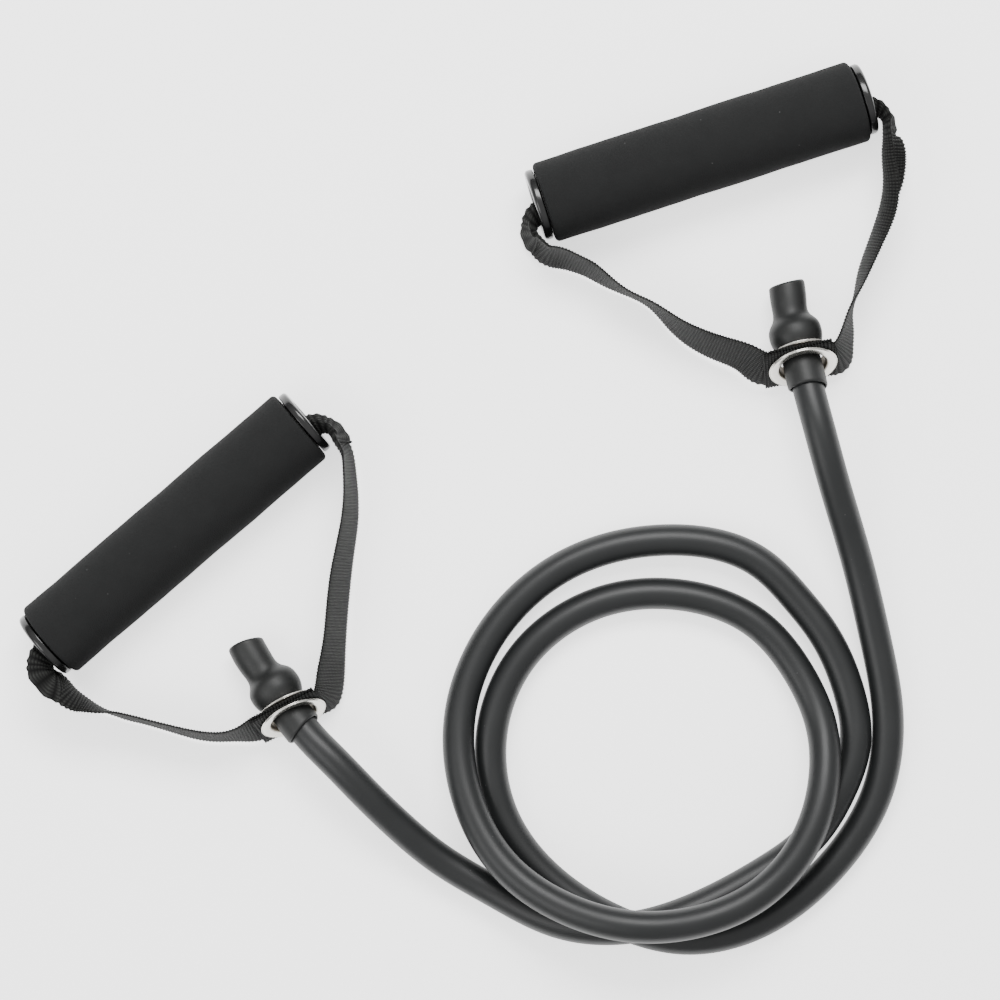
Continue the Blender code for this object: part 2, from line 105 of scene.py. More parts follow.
# The turn out of a bore: its angle, and how much of the change to the first place outside is done.
MOUTH_TURN = ((0, 0), (30, 0.5), (60, 0.9), (90, 1))
BORE_STATIONS = (0.92, 0.5, 0, -0.5, -0.92)  # from one end of the bore, 1, to the other, -1
# Where the two layers lie flat on each other, by distance along them from the grommet.
FRONT_LAYER = (-0.0155, 0, 0.007, 0.011, 0.0145)
BACK_LAYER = (-0.0145, -0.011, -0.007, 0, 0.0125)
SELVEDGE_INSET = 0.0005  # between two ribs
SELVEDGE_WAVE = 0.0006  # how far a rib stands out beyond that
SELVEDGE_UNEVENNESS = 0.0001
SELVEDGE_ROUNDING = 0.00018
SELVEDGE_THINNING = 0.55
LEAST_CURL = 0.01  # 1/m: flat webbing, without a division by zero
HOLE_DEPTH = 0.003  # each way from the grommet's middle
# A cell's four sides: which neighbour is beyond it, and its ends, each as rows and columns away.
CELL_SIDES = (
    ((-1, 0), (0, 0), (0, 1)),
    ((1, 0), (1, 1), (1, 0)),
    ((0, -1), (1, 0), (0, 0)),
    ((0, 1), (0, 1), (1, 1)),
)
LAYER_OFFSET = (WEBBING_THICKNESS + PLAY) / 2
STACK_HALF = WEBBING_THICKNESS + 1.5 * PLAY

# Grommet
GROMMET_BORE = 0.0184
GROMMET_WALL = 0.0005
FLANGE_DIAMETER = 0.0280
FLANGE_THICKNESS = 0.0006
FLANGE_FUNNEL = 0.0216
FLANGE_CROWN = 0.0002
CROWN_START = 0.15  # of the way from the rim to the funnel
FUNNEL_DEPTH = 0.0023
FUNNEL_FLARE = 1.6
# Round the flange's rim, behind it and before it: from that face, and in from the rim.
RIM_BACK = ((0, 0.0008), (0.0004, 0.0008), (0.0001, 0.0002), (0.0003, 0))
RIM_FRONT = ((0.0001, 0.0002), (0, 0.0006))
ROLL_RADIUS = 0.0011
ROLL_OFFSET = 0.0001
BARREL_OFFSET = 0.0004  # between the straight barrel's end and the roll's
TARNISH_DEPTH = 0.0005  # below the flange's face, where the tarnish inside has come up fully
TARNISH_INSET = 0.0002
WASHER_THICKNESS = 0.0006
WASHER_EDGE = 0.0003
WASHER_TARNISH = 0.15

# Sleeve and the tube's end inside it
SLEEVE_WALL = 0.0011
SLEEVE_RINGS = 90
LIPS_IN_SLEEVE = 34  # the rounding at each end takes one part in this many of the length
LIP_ROUNDING = 0.45  # of the wall, from each face
TUBE_END_INSET = 0.0022  # of the tube's cut end, inside the sleeve's
TUBE_END_BORE = 0.0064
BALL_DIAMETER = 0.0144
BALL_PLACE = -0.0128
BALL_HOLLOW = (-0.0076, 0.0078)  # where the tube's bore meets the hollow round the ball
SMALLEST_RADIUS = 0.0004  # of a closed end, which would otherwise meet in a point
TIP_WALL = 0.0006  # how much thinner the tube is at its cut end
# Round the cut end: beyond it, and in from its outside.
TIP_EDGE = ((0, 0.0003), (0.0002, 0.0008))
TIP_BORE_EDGE = 0.0005
# The bulge over the ball and the neck behind it: distance, and how much thicker the tube is there.
SWELLING = (
    (0.0140, 0),
    (0.0000, 0),
    (-0.0030, 0),
    (-0.0055, 0.0009),
    (-0.0080, 0.0021),
    (-0.0105, 0.0028),
    (-0.0128, 0.0029),
    (-0.0150, 0.0026),
    (-0.0172, 0.0014),
    (-0.0192, -0.0001),
    (-0.0215, -0.0007),
    (-0.0250, -0.0006),
    (-0.0370, -0.0006),
)
TUBE_SLOPE = 17  # degrees, of the tube's way up through the grommet
AXIS_LEAD = (0.016, 0.008, 0)  # the axis's points up to the grommet, by distance from it
ROUND_SIDES = 96

# Studio: each lamp's place, target, size and power
WORLD_LIGHT = 1.0
WORLD_HORIZON = (0.30, 0.30, 0.31)
WORLD_ZENITH = (1.1, 1.1, 1.1)
LAMPS = (
    ("key", (0.1, 0.9, 1.3), (0.0, -0.05, 0.0), (1.0, 0.6), 32),
    ("fill", (-0.9, -0.5, 1.1), (0.0, -0.05, 0.0), (0.8, 0.8), 9),
)
FLOOR_SIZE = 24.0
FLOOR_GLOW = 1.5

# How each handle's tube end lies, in the handle's frame, and how its sleeve is cut. The angles are
# in degrees; axis holds the middle of the tube's end beyond the grommet.
HANDLES = {
    "a": {
        "tube_angle": -91.6,
        "axis": (
            (-0.0105, -0.0719, 0.0109),
            (-0.0100, -0.0628, 0.0096),
            (-0.0080, -0.0510, 0.0078),
            (-0.0068, -0.0470, 0.0073),
        ),
        "sleeve_reach": 0.0085,
        "neck_reach": 0.0347,
        "front_cut": ((0.0010, 1, 20), (0.0003, 2, 60)),
        "neck_cut": ((0.0006, 1, 200), (0.0003, 2, 0)),
    },
    "b": {
        "tube_angle": -95.9,
        "axis": (
            (0.0139, -0.0800, 0.0109),
            (0.0147, -0.0716, 0.0096),
            (0.0169, -0.0604, 0.0078),
            (0.0175, -0.0556, 0.0072),
        ),
        "sleeve_reach": 0.0108,
        "neck_reach": 0.0332,
        "front_cut": ((0.0008, 1, 180), (0.0003, 2, 30)),
        "neck_cut": ((0.0008, 1, 20),),
    },
}

# Stations of the webbing between the grommet and the caps: x, y and z of its middle, how far its
# upper edge leans into the loop in degrees, and the curvature across it in 1/m.
RIGHT_ARM = {
    "a": (
        (0.0055, -0.0878, 0.0146, 25, 0),
        (0.0101, -0.0837, 0.0146, 24, 0),
        (0.0181, -0.0763, 0.0145, 20, 0),
        (0.0321, -0.0626, 0.0142, 18, 0),
        (0.0420, -0.0535, 0.0142, 17, 0),
        (0.0503, -0.0466, 0.0142, 15, 0),
        (0.0580, -0.0398, 0.0143, 13, 0),
        (0.0638, -0.0330, 0.0145, 11, 4),
        (0.0688, -0.0256, 0.0147, 9, 12),
        (0.0720, -0.0190, 0.0148, 8, 26),
        (0.0726, -0.0142, 0.0149, 9, 44),
    ),
    "b": (
        (0.0311, -0.0908, 0.0146, 22, 0),
        (0.0346, -0.0846, 0.0146, 15, 0),
        (0.0376, -0.0788, 0.0144, 8, 0),
        (0.0414, -0.0733, 0.0142, 2, 4),
        (0.0454, -0.0667, 0.0142, -4, 15),
        (0.0537, -0.0546, 0.0142, -6, 40),
        (0.0618, -0.0429, 0.0143, -1, 76),
        (0.0666, -0.0326, 0.0146, 13, 100),
        (0.0692, -0.0237, 0.0150, 21, 100),
        (0.0712, -0.0182, 0.0153, 18, 78),
        (0.0724, -0.0144, 0.0154, 12, 50),
    ),
}
LEFT_ARM = {
    "a": (
        (-0.0722, -0.0146, 0.0166, -14, 70),
        (-0.0718, -0.0204, 0.0158, -11, 66),
        (-0.0706, -0.0264, 0.0149, -5, 50),
        (-0.0688, -0.0324, 0.0145, 1, 26),
        (-0.0650, -0.0399, 0.0142, 8, 0),
        (-0.0593, -0.0480, 0.0142, 9, 0),
        (-0.0527, -0.0577, 0.0142, 10, 0),
        (-0.0430, -0.0705, 0.0142, 12, 0),
        (-0.0341, -0.0774, 0.0144, 15, 0),
    ),
    "b": (
        (-0.0722, -0.0138, 0.0146, 12, 40),
        (-0.0703, -0.0180, 0.0145, 15, 30),
        (-0.0662, -0.0217, 0.0144, 16, 18),
        (-0.0612, -0.0262, 0.0143, 13, 8),
        (-0.0563, -0.0314, 0.0142, 11, 0),
        (-0.0517, -0.0373, 0.0142, 7, 0),
        (-0.0453, -0.0444, 0.0142, 1, 0),
        (-0.0382, -0.0514, 0.0142, 2, 0),
        (-0.0309, -0.0627, 0.0142, 11, 0),
        (-0.0164, -0.0775, 0.0144, 21, 0),
        (-0.0075, -0.0850, 0.0145, 25, 0),
    ),
}
# The webbing's lean where it leaves each bore, in degrees.
MOUTH_LEAN = {"a": {"right": 12, "left": -16}, "b": {"right": 8, "left": 12}}
# The middle of the tube, from sleeve a to sleeve b.
TUBE_ROUTE = (
    (-0.0643, -0.1289, 0.0163),
    (-0.0594, -0.1343, 0.0184),
    (-0.0512, -0.1424, 0.0200),
    (-0.0405, -0.1536, 0.0186),
    (-0.0259, -0.1684, 0.0134),
    (-0.0089, -0.1829, 0.0088),
    (0.0133, -0.1962, 0.0084),
    (0.0385, -0.2077, 0.0147),
    (0.0665, -0.2093, 0.0200),
    (0.0957, -0.2009, 0.0172),
    (0.1228, -0.1869, 0.0130),
    (0.1398, -0.1743, 0.0110),
    (0.1524, -0.1551, 0.0096),
    (0.1584, -0.1359, 0.0086),
    (0.1558, -0.1154, 0.0072),
    (0.1455, -0.0920, 0.0067),
    (0.1350, -0.0784, 0.0065),
    (0.1206, -0.0642, 0.0065),
    (0.0798, -0.0548, 0.0065),
    (0.0400, -0.0659, 0.0065),
    (0.0115, -0.0930, 0.0070),
    (-0.0009, -0.1270, 0.0098),
    (0.0014, -0.1547, 0.0146),
    (0.0166, -0.1836, 0.0214),
    (0.0392, -0.1996, 0.0276),
    (0.0695, -0.2073, 0.0330),
    (0.0950, -0.2052, 0.0306),
    (0.1192, -0.1945, 0.0274),
    (0.1366, -0.1749, 0.0250),
    (0.1446, -0.1511, 0.0200),
    (0.1442, -0.1288, 0.0122),
    (0.1349, -0.1070, 0.0078),
    (0.1191, -0.0886, 0.0067),
    (0.0879, -0.0768, 0.0065),
    (0.0553, -0.0799, 0.0065),
    (0.0246, -0.1016, 0.0065),
    (0.0118, -0.1353, 0.0065),
    (0.0178, -0.1683, 0.0065),
    (0.0351, -0.1908, 0.0065),
    (0.0605, -0.2074, 0.0065),
    (0.0899, -0.2154, 0.0065),
    (0.1201, -0.2086, 0.0065),
    (0.1483, -0.1868, 0.0065),
    (0.1676, -0.1558, 0.0065),
    (0.1717, -0.1272, 0.0065),
    (0.1667, -0.0950, 0.0068),
    (0.1589, -0.0632, 0.0096),
    (0.1488, -0.0314, 0.0180),
    (0.1418, -0.0067, 0.0206),
    (0.1392, 0.0037, 0.0184),
    (0.1377, 0.0104, 0.0163),
)

UP = np.array((0.0, 0.0, 1.0))
SPLINE_STEPS = 24


# Shapes


def unit(vectors):
    return vectors / np.linalg.norm(vectors, axis=-1, keepdims=True)


def smooth_curve(points, steps):
    """Points of the natural cubic spline through these, with so many steps between two of them."""
    points = np.array(points, float)
    chord = np.linalg.norm(np.diff(points[:, :3], axis=0), axis=1)
    size = len(points)
    system = np.eye(size)
    wanted = np.zeros_like(points)
    slope = np.diff(points, axis=0) / chord[:, None]
    for i in range(1, size - 1):
        system[i, i - 1 : i + 2] = chord[i - 1], 2 * (chord[i - 1] + chord[i]), chord[i]
        wanted[i] = 6 * (slope[i] - slope[i - 1])
    bend = np.linalg.solve(system, wanted)
    found = []
    for i in range(size - 1):
        start = slope[i] - chord[i] * (2 * bend[i] + bend[i + 1]) / 6
        cubic = (bend[i + 1] - bend[i]) / (6 * chord[i])
        t = chord[i] * np.arange(steps)[:, None] / steps
        found.append(points[i] + t * (start + t * (bend[i] / 2 + t * cubic)))
    return np.vstack([*found, points[-1:]])


def distances_along(points):
    steps = np.linalg.norm(np.diff(points[:, :3], axis=0), axis=1)
    return np.concatenate([[0], np.cumsum(steps)])


def resampled(points, step):
    """The curve's values about this step apart, and the distance along it of each."""
    travelled = distances_along(points)
    wanted = np.linspace(0, travelled[-1], round(travelled[-1] / step) + 1)
    columns = [np.interp(wanted, travelled, column) for column in points.T]
    return np.column_stack(columns), wanted


def waves(values, seed, size):
    """Smooth pseudo-random numbers from -1 to 1, changing over about this size."""
    phases = np.random.default_rng(seed).uniform(0, 2 * math.pi, 4)
    rates = np.array((1.0, 1.7, 2.9, 4.3)) * 2 * math.pi / size
    heights = np.array((0.5, 0.25, 0.15, 0.1))
    return (heights * np.sin(values[..., None] * rates + phases)).sum(-1)


def quads_between(rings, sides, wrap=False):
    """The corners of the faces between neighbouring rings, each ring closed on itself."""
    index = np.arange(rings * sides).reshape(rings, sides)
    if wrap:
        index = np.vstack([index, index[:1]])
    after = np.roll(index, -1, axis=1)
    return np.stack([index[:-1], after[:-1], after[1:], index[1:]], axis=-1)


def ring_map(along, around):
    """The UV corners of quads_between: along has a value per ring, around one more than a ring."""
    u = np.broadcast_to(np.asarray(along)[:, None], (len(along), len(around)))
    v = np.broadcast_to(np.asarray(around)[None, :], u.shape)
    grid = np.stack([u, v], axis=-1)
    corners = (grid[:-1, :-1], grid[:-1, 1:], grid[1:, 1:], grid[1:, :-1])
    return np.stack(corners, axis=2)


def piece(name, points, faces, surface, uv=None, values=None):
    """A mesh object in the row frame, with its material, its own UV map and its vertex values."""
    points = np.asarray(points, float).reshape(-1, 3)
    mesh = bpy.data.meshes.new(name)
    mesh.from_pydata(points.tolist(), [], faces)
    if uv is not None:
        mesh.uv_layers.new(name="metres").data.foreach_set("uv", np.ravel(uv))
    for label, value in (values or {}).items():
        mesh.attributes.new(label, "FLOAT", "POINT").data.foreach_set("value", np.ravel(value))
    mesh.calc_loop_triangles()
    corners = np.empty(3 * len(mesh.loop_triangles), np.int32)
    mesh.loop_triangles.foreach_get("vertices", corners)
    if np.linalg.det(points[corners.reshape(-1, 3)]).sum() < 0:
        mesh.flip_normals()
    mesh.shade_smooth()
    mesh.materials.append(surface)
    obj = bpy.data.objects.new(name, mesh)
    bpy.context.collection.objects.link(obj)
    return obj


def straight(origin, direction):
    """The line through origin, as a function from distances to points and directions."""
    origin, direction = np.array(origin), unit(np.array(direction, float))

    def at(distance):
        return origin + distance[..., None] * direction, np.broadcast_to(
            direction, (*distance.shape, 3)
        )

    return at


def curved(points, zero):
    """The curve through finely spaced points, by distance back from the zeroth one's place."""
    travelled = distances_along(points)
    travelled = travelled[zero] - travelled
    heading = unit(-np.gradient(points, axis=0))

    def at(distance):
        rising = travelled[::-1]
        place = [np.interp(distance, rising, column[::-1]) for column in points.T]
        way = [np.interp(distance, rising, column[::-1]) for column in heading.T]
        return np.stack(place, axis=-1), unit(np.stack(way, axis=-1))

    return at


def turned(distance, radius, line, sides=ROUND_SIDES):
    """Rings of points round the line. Distance and radius hold a value per ring, or per point."""
    shape = (len(distance), sides)
    distance = np.broadcast_to(np.reshape(distance, (shape[0], -1)), shape)
    radius = np.broadcast_to(np.reshape(radius, (shape[0], -1)), shape)
    angle = ring_angles(sides)[:, None]
    centre, along = line(distance)
    across = unit(np.cross(along, UP))
    upward = np.cross(across, along)
    spoke = np.cos(angle) * across + np.sin(angle) * upward
    return centre + radius[..., None] * spoke


def ring_angles(sides):
    return 2 * math.pi * (np.arange(sides) + 0.5) / sides


def arc(centre, radius, start, end, steps=8):
    """Points of (distance, radius) on an arc of a profile, angles in degrees."""
    angle = np.radians(np.linspace(start, end, steps + 1))
    return [
        (centre[0] + radius * c, centre[1] + radius * s) for c, s in zip(np.cos(angle), np.sin(angle))
    ]


def turned_piece(name, profile, line, surface, sides=ROUND_SIDES, values=None):
    """A ring-shaped piece: the closed profile of (distance, radius) turned round the line."""
    profile = np.array(profile)
    rings = turned(profile[:, 0], profile[:, 1], line, sides)
    faces = quads_between(len(profile), sides, wrap=True).reshape(-1, 4).tolist()
    if values:
        values = {label: np.repeat(value, sides) for label, value in values.items()}
    return piece(name, rings, faces, surface, values=values)


# Materials


def add(tree, kind, settings=None, **inputs):
    """A new node. An input given as another node's socket is linked, and any other is set."""
    made = tree.nodes.new(kind)
    for name, value in (settings or {}).items():
        setattr(made, name, value)
    for name, value in inputs.items():
        feed(tree, made.inputs[name.replace("_", " ")], value)
    return made


def feed(tree, socket, value):
    if isinstance(value, bpy.types.NodeSocket):
        tree.links.new(value, socket)
    else:
        socket.default_value = value


def maths(tree, operation, *terms, clamp=False):
    made = tree.nodes.new("ShaderNodeMath")
    made.operation = operation
    made.use_clamp = clamp
    for socket, term in zip(made.inputs, terms):
        feed(tree, socket, term)
    return made.outputs[0]


def between(tree, factor, low, high):
    """A number from low to high as factor goes from 0 to 1."""
    made = add(tree, "ShaderNodeMapRange", Value=factor, To_Min=low, To_Max=high)
    return made.outputs[0]


def threshold(tree, value, start, end):
    """0 where value is before start, 1 beyond end, and smooth between them."""
    made = add(
        tree,
        "ShaderNodeMapRange",
        {"interpolation_type": "SMOOTHSTEP"},
        Value=value,
        From_Min=start,
        From_Max=end,
    )
    return made.outputs[0]


def mixed(tree, factor, first, second):
    made = tree.nodes.new("ShaderNodeMix")
    made.data_type = "RGBA"
    feed(tree, made.inputs["Factor"], factor)
    for socket, colour in zip((made.inputs[6], made.inputs[7]), (first, second)):
        feed(tree, socket, colour if isinstance(colour, bpy.types.NodeSocket) else (*colour, 1))
    return made.outputs[2]


def noise(tree, where, scale, detail=3, roughness=0.55):
    made = add(
        tree, "ShaderNodeTexNoise", Vector=where, Scale=scale, Detail=detail, Roughness=roughness
    )
    return made.outputs[0]


def specks(tree, where, scale, size):
    """1 within small round specks and 0 between them."""
    made = add(tree, "ShaderNodeTexVoronoi", Vector=where, Scale=scale)
    chosen = add(tree, "ShaderNodeSeparateColor", Color=made.outputs["Color"]).outputs[0]
    near = threshold(tree, made.outputs["Distance"], size, size * 0.6)
    return maths(tree, "MULTIPLY", near, threshold(tree, chosen, 0.8, 0.82))


def bump(tree, height, distance, strength=1.0, under=None):
    made = add(tree, "ShaderNodeBump", Height=height, Distance=distance, Strength=strength)
    if under is not None:
        tree.links.new(under, made.inputs["Normal"])
    return made.outputs[0]


def object_place(tree):
    return tree.nodes.new("ShaderNodeTexCoord").outputs["Object"]


def metres_place(tree):
    return tree.nodes.new("ShaderNodeTexCoord").outputs["UV"]


def attribute(tree, name):
    return add(tree, "ShaderNodeAttribute", {"attribute_name": name}).outputs["Fac"]


def new_material(name, **constants):
    """A material, its node tree and its shader, with these values that are the same all over."""
    made = bpy.data.materials.new(name)
    made.use_nodes = True
    shader = made.node_tree.nodes["Principled BSDF"]
    for label, value in constants.items():
        shader.inputs[label.replace("_", " ")].default_value = value
    return made, made.node_tree, shader


def drive(tree, shader, **inputs):
    for name, value in inputs.items():
        feed(tree, shader.inputs[name.replace("_", " ")], value)


def latex_material():
    """Dark grey rubber tube with a satin skin, faint cloudiness and a little dust."""
    made, tree, shader = new_material("band_latex", Specular_IOR_Level=0.36)
    where = metres_place(tree)
    cloud = noise(tree, where, 60, 4)
    fine = noise(tree, where, 900, 3, 0.7)
    dust = specks(tree, where, 260, 0.06)
    colour = mixed(tree, cloud, (0.0065, 0.0072, 0.0074), (0.0115, 0.0125, 0.0128))
    colour = mixed(tree, maths(tree, "MULTIPLY", dust, 0.4), colour, (0.14, 0.14, 0.14))
    rough = maths(tree, "ADD", between(tree, cloud, 0.36, 0.46), maths(tree, "MULTIPLY", fine, 0.06))
    normal = bump(tree, fine, 0.00004, 0.5)
    drive(tree, shader, Base_Color=colour, Roughness=rough, Normal=normal)
    return made


def sleeve_material():
    """The sleeve's rubber, a little duller than the tube, with faint scuffs."""
    made, tree, shader = new_material("sleeve_rubber", Specular_IOR_Level=0.3)
    where = object_place(tree)
    cloud = noise(tree, where, 150, 4)
    fine = noise(tree, where, 1500, 3, 0.7)
    colour = mixed(tree, cloud, (0.009, 0.0095, 0.0093), (0.016, 0.0168, 0.0165))
    rough = between(tree, cloud, 0.42, 0.54)
    drive(tree, shader, Base_Color=colour, Roughness=rough, Normal=bump(tree, fine, 0.00005, 0.5))
    return made


def foam_material():
    """Matte closed-cell foam: fine pores, soft unevenness and a few light specks."""
    made, tree, shader = new_material("grip_foam", Specular_IOR_Level=0.12)
    where = object_place(tree)
    pores = add(tree, "ShaderNodeTexVoronoi", Vector=where, Scale=2200.0).outputs["Distance"]
    soft = noise(tree, where, 140, 4)
    fine = noise(tree, where, 1400, 4, 0.7)
    dust = specks(tree, where, 230, 0.07)
    colour = mixed(tree, soft, (0.0085, 0.0088, 0.0088), (0.0130, 0.0133, 0.0133))
    colour = mixed(tree, maths(tree, "MULTIPLY", fine, 0.35), colour, (0.022, 0.0225, 0.0225))
    colour = mixed(tree, maths(tree, "MULTIPLY", dust, 0.4), colour, (0.12, 0.12, 0.12))
    normal = bump(tree, soft, 0.0003, 0.5)
    normal = bump(tree, fine, 0.00012, 0.8, normal)
    normal = bump(tree, pores, 0.0001, 0.6, normal)
    rough = between(tree, fine, 0.82, 0.98)
    drive(tree, shader, Base_Color=colour, Roughness=rough, Normal=normal)
    return made


def webbing_material():
    """Ribbed nylon webbing: painted shade between its ribs and warps, a painted glint on the rib crests,
    with fibres along it and a sheen.
    """
    made, tree, shader = new_material(
        "handle_webbing",
        Specular_IOR_Level=0.15,
        Sheen_Weight=0.03,
        Sheen_Roughness=0.5,
    )
    where = metres_place(tree)
    parts = add(tree, "ShaderNodeSeparateXYZ", Vector=where)
    relief = attribute(tree, "relief")
    warp = maths(tree, "MULTIPLY", parts.outputs["Y"], 2 * math.pi * WARPS / WEBBING_WIDTH)
    warp = maths(tree, "ABSOLUTE", maths(tree, "SINE", maths(tree, "MULTIPLY", warp, 0.5)))
    stretched = add(tree, "ShaderNodeVectorMath", {"operation": "MULTIPLY"})
    tree.links.new(where, stretched.inputs[0])
    stretched.inputs[1].default_value = (700, 6000, 1)
    fibres = noise(tree, stretched.outputs[0], 1, 2, 0.6)
    wear = noise(tree, where, 120, 4)
    # Painted light and shade: the rib crests are painted lighter as a glint, and the grooves between
    # ribs and warps near black as shade.
    light = maths(tree, "MULTIPLY", relief, between(tree, warp, 0.15, 1))
    light = maths(tree, "MULTIPLY", light, between(tree, fibres, 0.6, 1.3))
    # The near-black colour is the painted groove shade and the lighter one the painted rib glint.
    colour = mixed(tree, light, (0.0006, 0.0006, 0.0006), (0.030, 0.031, 0.029))
    colour = mixed(tree, threshold(tree, wear, 0.62, 0.8), colour, (0.014, 0.014, 0.013))
    normal = bump(tree, maths(tree, "MULTIPLY", warp, relief), 0.0003, 0.9)
    normal = bump(tree, fibres, 0.00006, 0.6, normal)
    rough = between(tree, fibres, 0.62, 0.85)
    drive(tree, shader, Base_Color=colour, Roughness=rough, Normal=normal)
    return made


def nickel_material():
    """Bright plated metal, with smudges, fine scratches and brown tarnish inside the barrel."""
    made, tree, shader = new_material("grommet_nickel")
    where = object_place(tree)
    smudge = noise(tree, where, 220, 4)
    fine = noise(tree, where, 2500, 3, 0.7)
    tarnish = attribute(tree, "tarnish")
    patchy = maths(tree, "MULTIPLY", tarnish, between(tree, smudge, 0.6, 1.4), clamp=True)
    clean = mixed(tree, smudge, (0.58, 0.565, 0.52), (0.70, 0.685, 0.645))
    colour = mixed(tree, patchy, clean, (0.17, 0.145, 0.110))
    rough = maths(tree, "ADD", between(tree, smudge, 0.16, 0.34), maths(tree, "MULTIPLY", patchy, 0.2))
    normal = bump(tree, smudge, 0.00012, 0.4)
    normal = bump(tree, fine, 0.00002, 0.4, normal)
    metallic = between(tree, patchy, 1.0, 0.8)
    drive(tree, shader, Base_Color=colour, Roughness=rough, Normal=normal, Metallic=metallic)
    return made


def plastic_material(name, dark, light, smoothest, roughest, relief):
    """Moulded plastic with a faint orange-peel surface and finger smudges."""
    made, tree, shader = new_material(name, Specular_IOR_Level=0.5)
    where = object_place(tree)
    cloud = noise(tree, where, 180, 3)
    fine = noise(tree, where, 900, 2)
    drive(
        tree,
        shader,
        Base_Color=mixed(tree, cloud, dark, light),
        Roughness=between(tree, cloud, smoothest, roughest),
        Normal=bump(tree, fine, relief, 0.5),
    )
    return made


def floor_material():
    made, tree, shader = new_material(
        "floor_paper",
        Roughness=0.9,
        Emission_Color=(1, 1, 1, 1),
        Emission_Strength=FLOOR_GLOW,
    )
    cloud = noise(tree, object_place(tree), 3, 2)
    drive(tree, shader, Base_Color=mixed(tree, cloud, (0.89, 0.89, 0.89), (0.91, 0.91, 0.91)))
    return made


MATERIALS = {
    "latex": latex_material(),
    "sleeve_rubber": sleeve_material(),
    "foam": foam_material(),
    "webbing": webbing_material(),
    "nickel": nickel_material(),
    "cap_plastic": plastic_material(
        "cap_plastic", (0.004, 0.004, 0.004), (0.007, 0.007, 0.007), 0.14, 0.24, 0.00003
    ),
    "core_plastic": plastic_material(
        "core_plastic", (0.085, 0.085, 0.085), (0.11, 0.11, 0.11), 0.42, 0.56, 0.00005
    ),
    "ball_plastic": plastic_material(
        "ball_plastic", (0.32, 0.30, 0.27), (0.37, 0.35, 0.32), 0.42, 0.56, 0.00003
    ),
}


# Camera, light and floor


def make_camera():
    data = bpy.data.cameras.new("camera")
    camera = bpy.data.objects.new("camera", data)
    bpy.context.collection.objects.link(camera)
    camera.location = CAMERA_PLACE
    data.sensor_width = SENSOR_WIDTH
    data.lens = SENSOR_WIDTH * (CAMERA_PLACE[2] - GRIP_HEIGHT) / VIEW_WIDTH
    bpy.context.scene.camera = camera


def make_light(name, place, target, size, power):
    data = bpy.data.lights.new(name, "AREA")
    data.shape = "RECTANGLE"
    data.size, data.size_y = size
    data.energy = power
    light = bpy.data.objects.new(name, data)
    bpy.context.collection.objects.link(light)
    light.location = place
    light.rotation_euler = (Vector(target) - Vector(place)).to_track_quat("-Z", "Y").to_euler()


def make_studio():
    world = bpy.data.worlds.new("studio")
    bpy.context.scene.world = world
    world.use_nodes = True
    tree = world.node_tree
    way = tree.nodes.new("ShaderNodeTexCoord").outputs["Generated"]
    height = add(tree, "ShaderNodeSeparateXYZ", Vector=way).outputs["Z"]
    light = mixed(tree, threshold(tree, height, 0.0, 0.8), WORLD_HORIZON, WORLD_ZENITH)
    background = tree.nodes["Background"]
    tree.links.new(light, background.inputs["Color"])
    background.inputs["Strength"].default_value = WORLD_LIGHT
    for name, place, target, size, power in LAMPS:
        make_light(name, place, target, size, power)
    half = FLOOR_SIZE / 2
    corners = [(-half, -half, 0), (half, -half, 0), (half, half, 0), (-half, half, 0)]
    mesh = bpy.data.meshes.new("floor")
    mesh.from_pydata(corners, [], [(0, 1, 2, 3)])
    mesh.materials.append(floor_material())
    floor = bpy.data.objects.new("floor", mesh)
    bpy.context.collection.objects.link(floor)


# Handles


def joint(name):
    return next(found for found in frame["joints"] if found["name"] == name)


def handle_place(side):
    """The matrix from a handle's own frame to the row frame."""
    grip = joint(f"grip_{side}_spin")
    x, y, _ = grip["pos_m"]
    across = unit(np.array(grip["axis"], float))
    place = np.eye(4)
    place[:3, 0] = across
    place[:3, 1] = np.cross(UP, across)
    place[:3, 3] = x, y, 0
    return place


def grommet_place(side):
    """The grommet's centre, and its normal towards the coil, in the row frame."""
    swivel = joint(f"loop_{side}_swivel")
    return np.array(swivel["pos_m"], float), unit(np.array(swivel["axis"], float))


def moved(points, place):
    """Points, or one point, taken through a 4 by 4 matrix."""
    return np.asarray(points) @ place[:3, :3].T + place[:3, 3]


def grip_line(side, direction=1):
    grip = joint(f"grip_{side}_spin")
    return straight(grip["pos_m"], direction * np.array(grip["axis"], float))


def tube_axis(side):
    """The middle of the tube's end, by distance from the grommet, positive towards the coil."""
    handle = HANDLES[side]
    angle, slope = math.radians(handle["tube_angle"]), math.radians(TUBE_SLOPE)
    outward = np.array(
        (math.cos(angle) * math.cos(slope), math.sin(angle) * math.cos(slope), math.sin(slope))
    )
    place = handle_place(side)
    centre, _ = grommet_place(side)
    lead = [centre + distance * (place[:3, :3] @ outward) for distance in AXIS_LEAD]
    fine = smooth_curve([*lead, *moved(handle["axis"], place)], SPLINE_STEPS)
    return curved(fine, (len(lead) - 1) * SPLINE_STEPS)


def outer_profile(gap):
    """The tube end's outside, offset outwards by gap: (distance, radius) towards the cut end."""
    return smooth_curve(SWELLING, 8) + np.array((0, TUBE_DIAMETER / 2 + gap))


